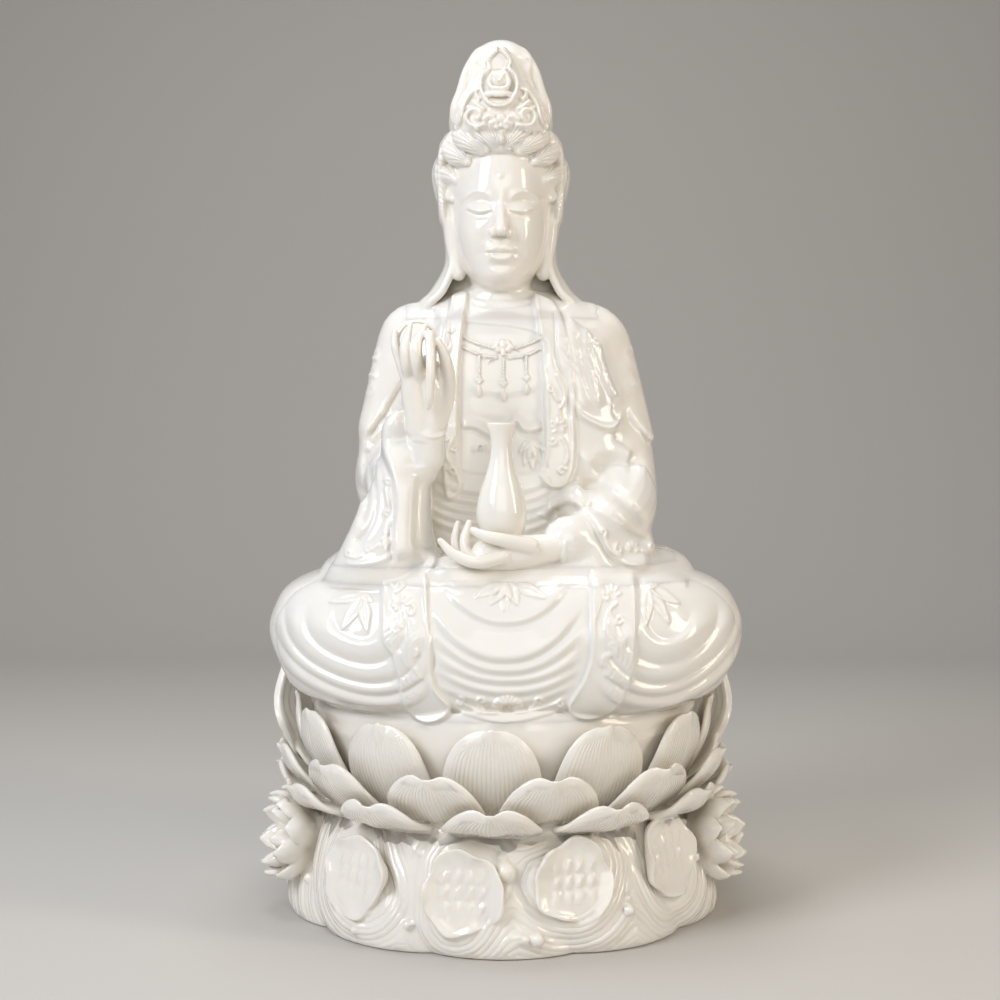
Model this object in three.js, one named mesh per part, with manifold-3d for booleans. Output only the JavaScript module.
// A white porcelain guanyin, seated with crossed legs on a lotus throne over a base of waves.
// The whole work is one glazed casting, so it is one mesh. Millimetres, +Z up, the face towards -Y.
// The origin is the middle of the underside, on the floor.
import * as THREE from "three";
import { mergeVertices } from "three/addons/utils/BufferGeometryUtils.js";
import Module from "manifold-3d";

const wasm = await Module();
wasm.setup();

// Base of waves
const BASE_RADIUS = 122;
const BASE_HEIGHT = 72;
const BILLOW_COUNT = 10;
const BILLOW_DEPTH = 6;
// Lotus throne
const SEAT_RADIUS = 105;
const SEAT_HEIGHT = 46;
const PETALS_PER_TIER = 12;
const PETAL_WIDTH = 50;
const PETAL_THICKNESS = 3.4;
// Figure, from the seat to the top of the veil
const FIGURE_HEIGHT = 361;
const CLOTH = 3;
// Vase in the left hand
const VASE_HEIGHT = 62;
const VASE_RADIUS = 13.3;
const VASE_WALL = 2.2;
// Lotus leaves, flowers and side leaves on the base
const LEAF_RADIUS = 22;
const LEAF_THICKNESS = 4;
const FLOWER_RADIUS = 24;
const SIDE_LEAF_THICKNESS = 4;

// The figure's own frame has its origin on the seat. Its measures are drawn for this height.
const DRAWN_HEIGHT = 361;
const SEAT_Z = BASE_HEIGHT + SEAT_HEIGHT;
const FIGURE_SCALE = FIGURE_HEIGHT / DRAWN_HEIGHT;

const v3 = (x, y, z) => new THREE.Vector3(x, y, z);
const mix = THREE.MathUtils.lerp;
const turn = THREE.MathUtils.degToRad;

// A closed three.js geometry as a solid with its faces pointing out.
function solidOf(geometry) {
  geometry.deleteAttribute("normal");
  geometry.deleteAttribute("uv");
  const merged = mergeVertices(geometry, 1e-4);
  const xyz = merged.attributes.position;
  const index = merged.index.array;
  const corner = [v3(), v3(), v3()];
  const triangles = [];
  let volume = 0;
  for (let i = 0; i < index.length; i += 3) {
    const [a, b, c] = index.slice(i, i + 3);
    if (a === b || b === c || c === a) continue;
    [a, b, c].forEach((n, k) => corner[k].fromBufferAttribute(xyz, n));
    volume += corner[0].dot(corner[1].cross(corner[2]));
    triangles.push(a, b, c);
  }
  if (volume < 0) triangles.reverse();
  const mesh = new wasm.Mesh({
    numProp: 3,
    vertProperties: xyz.array,
    triVerts: new Uint32Array(triangles),
  });
  return new wasm.Manifold(mesh);
}

function geometryFrom(points, triangles) {
  return new THREE.BufferGeometry()
    .setFromPoints(points)
    .setIndex(triangles.flat());
}

function geometryOf(solid) {
  const { numProp, numVert, vertProperties, triVerts } = solid.getMesh();
  const xyz = new Float32Array(numVert * 3);
  for (let i = 0; i < numVert; i++) xyz.set(vertProperties.subarray(i * numProp, i * numProp + 3), i * 3);
  return new THREE.BufferGeometry()
    .setAttribute("position", new THREE.BufferAttribute(xyz, 3))
    .setIndex(new THREE.BufferAttribute(new Uint32Array(triVerts), 1));
}

// A closed skin over rings that all have the same number of points, with a fan over each end.
function loft(rings) {
  const n = rings[0].length;
  const points = rings.flat();
  const triangles = [];
  for (let r = 0; r + 1 < rings.length; r++) {
    for (let i = 0; i < n; i++) {
      const j = (i + 1) % n;
      const low = r * n;
      const high = low + n;
      triangles.push([low + i, low + j, high + j], [low + i, high + j, high + i]);
    }
  }
  for (const [ring, first] of [[rings[0], 0], [rings.at(-1), (rings.length - 1) * n]]) {
    const middle = points.length;
    points.push(ring.reduce((sum, p) => sum.add(p), v3()).divideScalar(n));
    for (let i = 0; i < n; i++) {
      const j = (i + 1) % n;
      triangles.push(first ? [middle, first + i, first + j] : [middle, j, i]);
    }
  }
  return solidOf(geometryFrom(points, triangles));
}

// One level ring: a rounded oblong about (x, y), with its own reach to the front and the back.
function oval({ x = 0, y = 0, z, wide, front, back, square = 2.3, count = 40, swell = () => 0 }) {
  const ring = [];
  for (let i = 0; i < count; i++) {
    const angle = (2 * Math.PI * i) / count;
    const c = Math.cos(angle);
    const s = Math.sin(angle);
    const reach = s < 0 ? front : back;
    const px = wide * Math.sign(c) * Math.abs(c) ** (2 / square);
    const py = reach * Math.sign(s) * Math.abs(s) ** (2 / square);
    const grow = 1 + swell(angle, z) / Math.hypot(px, py);
    ring.push(v3(x + px * grow, y + py * grow, z));
  }
  return ring;
}

// A round or flattened bar along a smooth path. Each stop is [x, y, z, radius]; flat squeezes it along squeezeAxis.
function bar(stops, { sides = 6, steps = stops.length * 2, flat = 1, squeezeAxis = v3(0, 1, 0) } = {}) {
  const path = new THREE.CatmullRomCurve3(stops.map(([x, y, z]) => v3(x, y, z)), false, "centripetal");
  const rings = [];
  const radiusAt = (t) => {
    const at = t * (stops.length - 1);
    const i = Math.min(Math.floor(at), stops.length - 2);
    return mix(stops[i][3], stops[i + 1][3], at - i);
  };
  let across = null;
  for (let k = 0; k <= steps; k++) {
    const t = k / steps;
    const centre = path.getPoint(t);
    const along = path.getTangent(t);
    across = across
      ? across.clone().addScaledVector(along, -across.dot(along)).normalize()
      : squeezeAxis.clone().cross(along).normalize();
    const up = along.clone().cross(across);
    const end = k === 0 || k === steps ? 0.55 : 1;
    const radius = radiusAt(t) * end;
    rings.push(
      Array.from({ length: sides }, (_, i) => {
        const a = (2 * Math.PI * (i + 0.5)) / sides;
        return centre
          .clone()
          .addScaledVector(across, radius * Math.cos(a))
          .addScaledVector(up, radius * flat * Math.sin(a));
      }),
    );
  }
  return loft(rings);
}

// A sheet of even thickness over a surface that gives a point for u and v, each from 0 to 1.
function sheet(surface, thickness, nu, nv) {
  const small = 1e-3;
  const faces = [[], []];
  for (let j = 0; j <= nv; j++) {
    for (let i = 0; i <= nu; i++) {
      const u = mix(small, 1 - small, i / nu);
      const v = mix(small, 1 - small, j / nv);
      const du = surface(u + small, v).sub(surface(u - small, v));
      const dv = surface(u, v + small).sub(surface(u, v - small));
      const normal = du.cross(dv).normalize();
      faces[0].push(surface(u, v).addScaledVector(normal, thickness / 2));
      faces[1].push(surface(u, v).addScaledVector(normal, -thickness / 2));
    }
  }
  const points = faces.flat();
  const back = faces[0].length;
  const at = (i, j) => j * (nu + 1) + i;
  const triangles = [];
  for (let j = 0; j < nv; j++) {
    for (let i = 0; i < nu; i++) {
      const [a, b, c, d] = [at(i, j), at(i + 1, j), at(i + 1, j + 1), at(i, j + 1)];
      triangles.push([a, b, c], [a, c, d], [back + a, back + c, back + b], [back + a, back + d, back + c]);
    }
  }
  const rim = [];
  for (let i = 0; i < nu; i++) rim.push([at(i, 0), at(i + 1, 0)], [at(i + 1, nv), at(i, nv)]);
  for (let j = 0; j < nv; j++) rim.push([at(nu, j), at(nu, j + 1)], [at(0, j + 1), at(0, j)]);
  for (const [a, b] of rim) triangles.push([a, back + a, back + b], [a, back + b, b]);
  return solidOf(geometryFrom(points, triangles));
}

function ball(centre, radii, columns = 8, rows = 6) {
  const shape = new THREE.SphereGeometry(1, columns, rows);
  shape.rotateX(Math.PI / 2);
  shape.scale(...radii);
  shape.translate(...centre);
  return solidOf(shape);
}

function turned(profile, centre, sides) {
  const outline = profile.map(([r, z]) => new THREE.Vector2(r, z));
  const shape = new THREE.LatheGeometry(outline, sides);
  shape.rotateX(Math.PI / 2);
  shape.translate(...centre);
  return solidOf(shape);
}

const joined = (solids) => solids.reduce((whole, solid) => whole.add(solid));

// A point at a bearing from the front, positive to the right, at a radius and a height.
const around = (bearing, radius, z) =>
  v3(radius * Math.sin(turn(bearing)), -radius * Math.cos(turn(bearing)), z);

// Radius of the base at a share of its height: widest just over the floor, drawn in below the lotus.
const baseRadius = (share) => BASE_RADIUS * (1 - 0.03 * (1 - share) ** 8 - 0.22 * share ** 1.5);

// The base of waves, whose rolling billows scallop the foot and lean sideways as they rise.
function waveBase() {
  const shares = [0, 0.1, 0.35, 0.68, 1];
  const rings = shares.map((share) =>
    oval({
      z: share * BASE_HEIGHT,
      wide: baseRadius(share),
      front: baseRadius(share),
      back: baseRadius(share),
      square: 2,
      count: 30,
      swell: (angle) => {
        const wave = Math.abs(Math.cos((BILLOW_COUNT / 2) * (angle + 0.5 * share))) ** 0.7;
        return BILLOW_DEPTH * (1 - 0.6 * share) * (wave - 0.9);
      },
    }),
  );
  return loft(rings);
}

// The seed pod of the lotus, with a rounded edge, whose top is the seat.
function lotusPod() {
  const profile = [
    [0, BASE_HEIGHT - 8],
    [SEAT_RADIUS * 0.88, BASE_HEIGHT - 8],
    [SEAT_RADIUS, SEAT_Z - 8],
    [SEAT_RADIUS - 3, SEAT_Z],
    [0, SEAT_Z],
  ];
  return turned(profile, [0, 0, 0], 20);
}

// Three tiers, from the top one down: where the tips reach beyond the seat, and the heights of tip and root.
const TIERS = [
  { reach: 11, tip: 39, root: -6, offset: -3, bulge: 5, rows: 2 },
  { reach: 20, tip: 17, root: -10, offset: 12, bulge: 6, rows: 1 },
  { reach: 21, tip: -1, root: -14, offset: -3, bulge: 3, rows: 1 },
];

// One petal: broad, cupped round the pod, with a cleft that runs up to a small pointed tip.
function petal({ reach, tip, root, bulge, rows }, bearing) {
  const rootRadius = SEAT_RADIUS * 0.84;
  const tipRadius = SEAT_RADIUS + reach;
  return sheet(
    (u, v) => {
      const side = 2 * u - 1;
      const half = (PETAL_WIDTH / 2) * Math.sin(Math.PI * mix(0.22, 0.84, v)) ** 0.5;
      const crest = v * (1 - 0.24 * side ** 2);
      const out = mix(rootRadius, tipRadius, crest) + bulge * Math.sin(Math.PI * crest);
      const cup = 3 * side ** 2 + 3 * v * Math.exp(-((side / 0.25) ** 2));
      const z = BASE_HEIGHT + mix(root, tip, crest ** 1.15);
      return around(bearing + (side * half * 57.3) / tipRadius, out - cup, z);
    },
    PETAL_THICKNESS,
    2,
    rows,
  );
}

function petals() {
  return TIERS.flatMap((tier) =>
    Array.from({ length: PETALS_PER_TIER }, (_, i) => petal(tier, tier.offset + (360 * i) / PETALS_PER_TIER)),
  );
}

// A round lotus leaf with a rolled, wavy rim, lying on the slope of the base.
function lotusLeaf(bearing, share, twist) {
  const lean = Math.atan2(baseRadius(0.3) - baseRadius(0.7), 0.4 * BASE_HEIGHT);
  const count = 9;
  const rim = (i) => LEAF_RADIUS * (1 + 0.07 * Math.sin(2.1 * i + twist));
  const ringAt = (scale, height) =>
    Array.from({ length: count }, (_, k) => {
      const a = (2 * Math.PI * k) / count;
      return v3(rim(a) * scale * Math.cos(a), -height, rim(a) * scale * Math.sin(a));
    });
  const rings = [ringAt(0.9, -7), ringAt(1, LEAF_THICKNESS)];
  const place = around(bearing, baseRadius(share), share * BASE_HEIGHT);
  const points = rings.map((ring) =>
    ring.map((p) => p.applyAxisAngle(v3(1, 0, 0), -lean).applyAxisAngle(v3(0, 0, 1), turn(bearing)).add(place)),
  );
  return loft(points);
}

// Leaves: [bearing from the front, share of the base's height, twist of the rim].
const LEAVES = [
  [-41, 0.46, 0.4],
  [-10, 0.44, 2.1],
  [18, 0.5, 3.9],
  [50, 0.56, 1.2],
  [125, 0.5, 0.2],
  [163, 0.44, 2.8],
  [-163, 0.48, 1.6],
  [-125, 0.52, 3.2],
];

// An open lotus flower that turns outwards from the side of the base.
function lotusFlower(bearing) {
  const share = 0.56;
  const place = around(bearing, baseRadius(share) + 5, share * BASE_HEIGHT);
  const outward = around(bearing, 1, 0.25).normalize();
  const lay = new THREE.Quaternion().setFromUnitVectors(v3(0, 0, 1), outward);
  const set = (p) => p.applyQuaternion(lay).add(place);
  const lobed = (z, radius, depth) =>
    Array.from({ length: 14 }, (_, i) => {
      const a = (2 * Math.PI * i) / 14;
      const r = radius * (i % 2 ? 1 - depth : 1);
      return set(v3(r * Math.cos(a), r * Math.sin(a), z - 12 * depth * (i % 2)));
    });
  return loft([
    lobed(-8, 9, 0),
    lobed(5, 0.8 * FLOWER_RADIUS, 0.04),
    lobed(14, FLOWER_RADIUS, 0.26),
    lobed(8, 0.55 * FLOWER_RADIUS, 0.1),
  ]);
}

// A tall wavy lotus leaf that stands behind the petals on each side, from the base to below the knee.
function sideLeaf(hand) {
  const low = 0.4 * BASE_HEIGHT;
  const high = SEAT_Z + 10;
  return sheet(
    (u, v) => {
      const round = (1 - Math.abs(2 * v - 1) ** 3.5) ** 0.5;
      const bearing = hand * (119 + (u - 0.5) * 44 * Math.max(0.35, round));
      const wave = 3 * Math.cos(2 * Math.PI * (v * 2.2 + 0.5)) + 3 * u * Math.sin(5 * Math.PI * v);
      const radius = mix(BASE_RADIUS - 8, BASE_RADIUS + 11, Math.min(1, v * 3)) + wave * Math.min(1, 2 * v);
      return around(bearing, radius - 3 * u, mix(low, high, v));
    },
    SIDE_LEAF_THICKNESS,
    2,
    7,
  );
}

function plinth() {
  return [
    waveBase(),
    lotusPod(),
    ...petals(),
    ...LEAVES.map((leaf) => lotusLeaf(...leaf)),
    lotusFlower(-78),
    lotusFlower(78),
    sideLeaf(-1),
    sideLeaf(1),
  ];
}

// From here on, places are in the figure's frame, with z from the seat.
const layers = (rows, common) => loft(rows.map(([z, wide, front, back]) => oval({ z, wide, front, back, ...common })));

// Crossed legs under the robe: two broad round knees, wider than the seat. Rows are [z, half width, front, back].
function lap() {
  const rows = [
    [-4, 98, 80, 80], [3, 115, 87, 86], [16, 124, 91, 89], [35, 129, 92, 90],
    [48, 126, 88, 87], [59, 116, 82, 83], [68, 94, 72, 74],
  ];
  const fold = (angle, z) => (Math.sin(angle) < 0 ? 1.4 * Math.cos(0.42 * z + 6 * Math.abs(Math.cos(angle))) : 0);
  return layers(rows, { x: 1.5, y: -12, square: 2.5, count: 22, swell: fold });
}

// The cloth that hangs between the knees, and its hem over the seat's edge.
function apron() {
  return sheet(
    (u, v) => {
      const side = 2 * u - 1;
      const x = 1 + side * mix(42, 50, Math.sin(Math.PI * v));
      const hem = 8 * side ** 2;
      const z = mix(62, -4 + hem, v);
      const y = -88 - 15 * Math.sin((Math.PI / 2) * Math.min(1, v * 1.5)) - 4 * v + 6 * side ** 2;
      return v3(x, y, z);
    },
    2 * CLOTH,
    4,
    3,
  );
}

// A sash with a turned-up end falls over each shin.
function sash(hand) {
  const strip = sheet(
    (u, v) => {
      const x = hand * mix(43, 65, u) - hand * 12 * v ** 3 + 1;
      const roll = 1 - 6 * v ** 4 * (1 - u);
      return v3(x, -88 - 16 * Math.sin(Math.PI * Math.min(0.62, 0.1 + 0.75 * v)) - roll + 5 * u, mix(67, 12, v));
    },
    CLOTH * 1.6,
    1,
    4,
  );
  const tail = bar([[hand * 46, -102, 24, 7], [hand * 44, -104, 12, 8], [hand * 36, -104, 5, 6], [hand * 24, -104, 4, 4]], {
    sides: 5,
    flat: 0.5,
    steps: 4,
  });
  return [strip, tail];
}

// Robe hem that pools on the lap as a soft shelf, with a raised tip at each side.
function pooledHem() {
  const rows = [[60, 90, 74, 72], [67, 97, 79, 75], [73, 92, 74, 70]];
  const lift = (angle) => 2.2 * Math.cos(7 * angle) + 2.5 * Math.cos(2 * angle);
  return layers(rows, { x: 1.5, y: -9, square: 2.3, count: 20, swell: lift });
}

// Trunk and upper arms under the outer robe, as one bell-shaped mass. Rows are [z, half width, front, back].
function trunk() {
  const rows = [
    [60, 92, 58, 62], [80, 84, 55, 58], [113, 87, 52, 56], [154, 79, 46, 50],
    [181, 73, 42, 44], [197, 67, 39, 38], [209, 54, 32, 31], [219, 32, 25, 24],
  ];
  const fold = (angle, z) => {
    const behind = Math.sin(angle) > 0.2 ? 1 : 0.35;
    return 1.6 * behind * Math.cos(14 * angle + 0.02 * z) * THREE.MathUtils.smoothstep(210 - z, 0, 60);
  };
  return layers(rows, { y: 12, square: 2.4, count: 20, swell: fold });
}

// The two edges of the outer robe, from the neck to the waist, and the fold of cloth inside each.
function collars() {
  return [-1, 1].flatMap((hand) => [
    sheet((u, v) => v3(hand * mix(19 + 3 * v, 26 + 2 * v, u), -13 - 24 * Math.sin(v * 1.7) ** 0.6 + 2 * u, mix(218, 94, v)), 2 * CLOTH, 1, 3),
    sheet((u, v) => v3(hand * mix(26 + 3 * v, 36 + 10 * v, u), -8 - 28 * Math.sin(v * 1.6) ** 0.6 + 5 * u, mix(216, 82, v)), 2.4 * CLOTH, 1, 3),
  ]);
}

// Round folds of the cape over the left arm, and its lower edge.
function capeFolds() {
  const falls = [[38, 54], [50, 67]].map(([top, low], k) =>
    bar([[top, -10, 206 - 4 * k, 2], [mix(top, low, 0.4), -25, 178, 4], [low - 4, -27, 152 - 3 * k, 4.5], [low, -26, 136 - 2 * k, 3]], {
      sides: 4,
      steps: 3,
    }),
  );
  const hem = bar([[40, -33, 154, 3], [54, -33, 138, 4], [68, -25, 128, 4], [80, -12, 122, 3.5], [87, 6, 120, 3]], { sides: 4, steps: 5 });
  const rightEdge = bar([[-86, 4, 120, 3], [-78, -16, 132, 4], [-66, -24, 150, 4], [-58, -24, 170, 3], [-42, -16, 202, 2]], { sides: 4, steps: 5 });
  return [...falls, hem, rightEdge];
}

// The raised right arm, with a wide sleeve that falls from the wrist to the lap in upright folds.
function rightSleeve() {
  const rows = [
    [62, -56, -58, 36, 30], [80, -54, -61, 26, 25], [112, -50, -60, 18, 19], [136, -45, -62, 15, 15], [146, -40, -66, 12, 11],
  ];
  const fold = (angle) => 2.2 * Math.cos(5 * angle + 0.6);
  const fall = loft(
    rows.map(([z, x, y, wide, deep]) => oval({ x, y, z, wide, front: deep, back: deep, square: 2.2, count: 14, swell: fold })),
  );
  const forearm = bar([[-72, 4, 122, 22], [-64, -30, 118, 19], [-50, -52, 128, 15]], { sides: 7, steps: 3 });
  const folds = [-82, -72].map((x, k) =>
    bar([[x + 12, -34, 124, 2.5], [x, -42 + 5 * k - 10, 100, 3.4], [x - 1, -44 - 6 * k, 80, 3.2], [x - 10 + 6 * k, -44 - 8 * k, 70, 2.6]], {
      sides: 4,
      steps: 3,
    }),
  );
  return [fall, forearm, ...folds];
}

// The left arm lies across the lap. Its sleeve is gathered in round diagonal folds.
function leftSleeve() {
  const arm = bar([[70, 6, 112, 22], [66, -26, 98, 23], [52, -54, 88, 19], [36, -68, 82, 13.5]], { sides: 8, steps: 4 });
  const skirt = bar([[76, -16, 76, 16], [64, -50, 76, 17], [46, -68, 74, 12]], { sides: 6, steps: 3 });
  const folds = [0.5, 2.5].map((k) =>
    bar([[38 + 7 * k, -62 + k, 93 + 5 * k, 2.5], [52 + 6 * k, -62 + 5 * k, 103 + 3 * k, 4], [68 + 3 * k, -46 + 6 * k, 97 - k, 4.4], [80 - k, -32 + 6 * k, 80 - 2 * k, 3]], {
      sides: 4,
      steps: 3,
    }),
  );
  const forearm = bar([[44, -64, 84, 9], [30, -74, 82, 8.4], [20, -80, 81, 7.8]], { sides: 6, steps: 2 });
  return [arm, skirt, forearm, ...folds];
}

// The right hand is raised, with the fingers bent in blessing and a thin ring behind their tips.
function rightHand() {
  const palm = bar([[-38, -66, 138, 7.5], [-40, -69, 148, 8.5], [-43, -71, 160, 10.5], [-45, -73, 170, 9.5]], { sides: 6, steps: 3, flat: 0.6, squeezeAxis: v3(0, 1, 0) });
  const fingers = [
    [[-51, -72, 162, 3.2], [-54.5, -73, 178, 2.6], [-55.5, -71, 194, 1.6]],
    [[-48, -74, 166, 3.2], [-50, -79, 181, 3], [-48, -74, 196, 1.7]],
    [[-42, -75, 167, 3.2], [-44.5, -80, 182, 3.1], [-41, -75, 195, 1.8]],
    [[-37, -73, 168, 3.2], [-38, -76, 194, 3.2], [-38.5, -81, 174, 3.2], [-38.5, -79, 153, 2.6]],
    [[-33, -69, 148, 4.4], [-28, -72, 168, 4], [-31, -74, 182, 3], [-33.5, -74.5, 190, 2]],
  ].map((stops) => bar(stops, { sides: 4, steps: 3 }));
  const ring = new THREE.TorusGeometry(11, 1.3, 3, 8);
  ring.rotateX(turn(90));
  ring.translate(-43.5, -74, 187);
  return [palm, ...fingers, solidOf(ring)];
}

// The left hand lies open, palm up, under the vase.
function leftHand() {
  const palm = bar([[26, -77, 81, 7.6], [14, -80, 80, 9], [2, -81, 79, 12], [-10, -82, 77, 10]], { sides: 6, steps: 3, flat: 0.62, squeezeAxis: v3(0, 0, 1) });
  const fingers = [
    [[0, -90, 77, 4], [-14, -93, 75, 3.3], [-25, -91, 80, 2.8], [-31, -89, 87, 1.9]],
    [[-6, -86, 77, 3.4], [-18, -86, 80, 3], [-21, -84, 95, 1.9]],
    [[-8, -81, 77, 3.4], [-22, -81, 79, 3], [-25, -80, 94, 1.9]],
    [[-6, -76, 76, 3.4], [-18, -75, 78, 2.8], [-24, -74, 86, 1.8]],
    [[12, -88, 83, 4.6], [-4, -93, 88, 3.8], [-20, -91, 94, 2.4]],
  ].map((stops) => bar(stops, { sides: 4, steps: 3 }));
  return [palm, ...fingers];
}

// The vase: a slender pear shape with a flared lip, open and hollow.
const VASE_FOOT = [-1, -76, 84];
const vaseOutline = [[0.66, 0], [0.95, 0.16], [1, 0.3], [0.88, 0.46], [0.62, 0.66], [0.45, 0.86], [0.58, 0.99]];

function vase() {
  const profile = vaseOutline.map(([r, z]) => [r * VASE_RADIUS, z * VASE_HEIGHT]);
  return turned([[0, 0], ...profile, [0.53 * VASE_RADIUS, VASE_HEIGHT], [0, VASE_HEIGHT]], VASE_FOOT, 10);
}

function vaseInside() {
  const profile = vaseOutline.slice(1).map(([r, z]) => [r * VASE_RADIUS - VASE_WALL, z * VASE_HEIGHT]);
  const mouth = profile.at(-1)[0];
  return turned([[0, VASE_WALL * 2], [profile[0][0], VASE_WALL * 2], ...profile.slice(1), [mouth, VASE_HEIGHT + 4], [0, VASE_HEIGHT + 4]], VASE_FOOT, 8);
}

// The face has even thirds from hairline to brow, nose and chin, and an eye's width between the eyes.
const HEAD = { x: -1.2, z: 268, wide: 27, high: 46, front: 37, back: 42, brow: 269, nose: 246, mouth: 238, eye: 263, eyeX: 10.8 };

function head() {
  const bump = (x, z, cx, cz, wx, wz) => Math.exp(-(((x - cx) / wx) ** 2) - ((z - cz) / wz) ** 2);
  const relief = (x, z) => {
    const nose = 7.5 * bump(x, z, 0, HEAD.nose + 3, 3.6, 5) + 4.5 * bump(x, z, 0, HEAD.nose + 12, 2.6, 10);
    const lips = 2.4 * bump(x, z, 0, HEAD.mouth + 1, 6, 2.6) + 1.2 * bump(x, z, 0, HEAD.mouth - 4, 5, 2.4);
    const chin = 2.6 * bump(x, z, 0, HEAD.mouth - 10, 8, 6);
    const socket = bump(Math.abs(x), z, HEAD.eyeX, HEAD.eye + 3, 6, 4.5);
    const lid = bump(Math.abs(x), z, HEAD.eyeX, HEAD.eye, 4.5, 2.6);
    return nose + lips + chin - 3.2 * socket + 2.4 * lid;
  };
  const rings = [];
  const rows = 8;
  for (let k = 0; k <= rows; k++) {
    const rise = mix(-0.985, 0.96, k / rows);
    const z = HEAD.z + HEAD.high * rise;
    const girth = (1 - Math.abs(rise) ** (rise < 0 ? 2.9 : 2.4)) ** (1 / 2.2);
    const ring = oval({ x: HEAD.x, z, wide: HEAD.wide * girth, front: HEAD.front * girth ** 0.8, back: HEAD.back * girth, square: 2.2, count: 16 });
    rings.push(ring.map((p) => (p.y < -8 ? p.setY(p.y - relief(p.x, z)) : p)));
  }
  return [loft(rings), bar([[0, 2, 200, 18.5], [-1, 1, 214, 17.4], [-1, 0, 226, 17], [-1, 0, 240, 17]], { sides: 8, steps: 2, squeezeAxis: v3(1, 0, 0) })];
}

// Waved hair above the brow and beside the temples, and long ear lobes.
function hairAndEars() {
  const lock = (hand) => [
    bar([[0, -33, 298, 7], [hand * 10, -32, 299, 9], [hand * 19, -25, 296, 8], [hand * 26, -12, 280, 6]], { sides: 6, steps: 4 }),
    bar([[hand * 27.5, -7, 270, 4], [hand * 27, -9, 244, 3], [hand * 25, -13, 230, 4.2]], { sides: 5, steps: 3, flat: 0.7 }),
  ];
  return [...lock(-1), ...lock(1)];
}

// Veil rows: [z, half width, back, front edge as a bearing from behind]. It hugs the head and flares on the shoulders.
const VEIL_ROWS = [
  [212, 46, 40, 118], [220, 38, 37, 124], [236, 29, 36, 120], [258, 32, 39, 118],
  [284, 37.8, 42, 113], [298, 34, 40, 116], [308, 28, 36, 122], [322, 29, 33, 124], [346, 23, 26, 130], [358, 15, 17, 134],
];

function veil() {
  const at = (v) => {
    const along = v * (VEIL_ROWS.length - 1);
    const i = Math.min(Math.floor(along), VEIL_ROWS.length - 2);
    return VEIL_ROWS[i].map((value, k) => mix(value, VEIL_ROWS[i + 1][k], along - i));
  };
  const cloth = sheet(
    (u, v) => {
      const [z, wide, back, edge] = at(v);
      const bearing = turn((2 * u - 1) * edge);
      const reach = Math.cos(bearing) > 0 ? back - 1.5 : 30;
      return v3(HEAD.x + (wide - 1.5) * Math.sin(bearing), 4 + reach * Math.cos(bearing), z);
    },
    CLOTH,
    7,
    VEIL_ROWS.length - 1,
  );
  return [cloth, ball([HEAD.x, 3, 332], [24, 26, 29], 8, 5)];
}

// The crown: an openwork front with scrolls, and a pointed niche that holds a small seated buddha.
function crown() {
  const band = bar([[-27, -14, 309, 3], [-16, -29, 308, 3.4], [0, -35, 307, 4], [16, -29, 308, 3.4], [27, -14, 309, 3]], { sides: 5, steps: 6 });
  const niche = sheet(
    (u, v) => {
      const side = 2 * u - 1;
      const half = 12.5 * (v < 0.55 ? 1 : ((1 - v) / 0.45) ** 0.6);
      return v3(side * half, -29 + 6 * v + 2 * side ** 2, mix(306, 353, v));
    },
    3.5,
    2,
    4,
  );
  const scrolls = [-1, 1].flatMap((hand) => [
    bar([[hand * 8, -31, 312, 3.4], [hand * 19, -28, 317, 4.6], [hand * 19, -25, 330, 3.4], [hand * 9, -26, 336, 3]], { sides: 4, steps: 3 }),
  ]);
  const buddha = layers(
    [[315, 7, 3, 6], [320, 10, 4, 6], [326, 6, 3, 6], [335, 3, 3, 6], [341, 4, 4, 6], [347, 2, 2, 5]],
    { y: -31, square: 2, count: 6 },
  );
  return [band, niche, ...scrolls, buddha];
}

function figure() {
  const solids = [
    lap(),
    apron(),
    ...sash(-1),
    ...sash(1),
    pooledHem(),
    trunk(),
    ...collars(),
    ...capeFolds(),
    ...rightSleeve(),
    ...leftSleeve(),
    ...rightHand(),
    ...leftHand(),
    ...head(),
    ...hairAndEars(),
    ...veil(),
    ...crown(),
    vase(),
  ];
  const whole = geometryOf(joined(solids).subtract(vaseInside()));
  whole.scale(FIGURE_SCALE, FIGURE_SCALE, FIGURE_SCALE);
  whole.translate(0, 0, SEAT_Z);
  return solidOf(whole);
}

const porcelain = new THREE.MeshStandardMaterial({ color: 0xe9e5dc, roughness: 0.12, metalness: 0 });
const body = new THREE.Mesh(geometryOf(joined([...plinth(), figure()])), porcelain);
body.name = "guanyin_figure";
body.geometry.computeVertexNormals();

const guanyin = new THREE.Group();
guanyin.add(body);

export default guanyin;
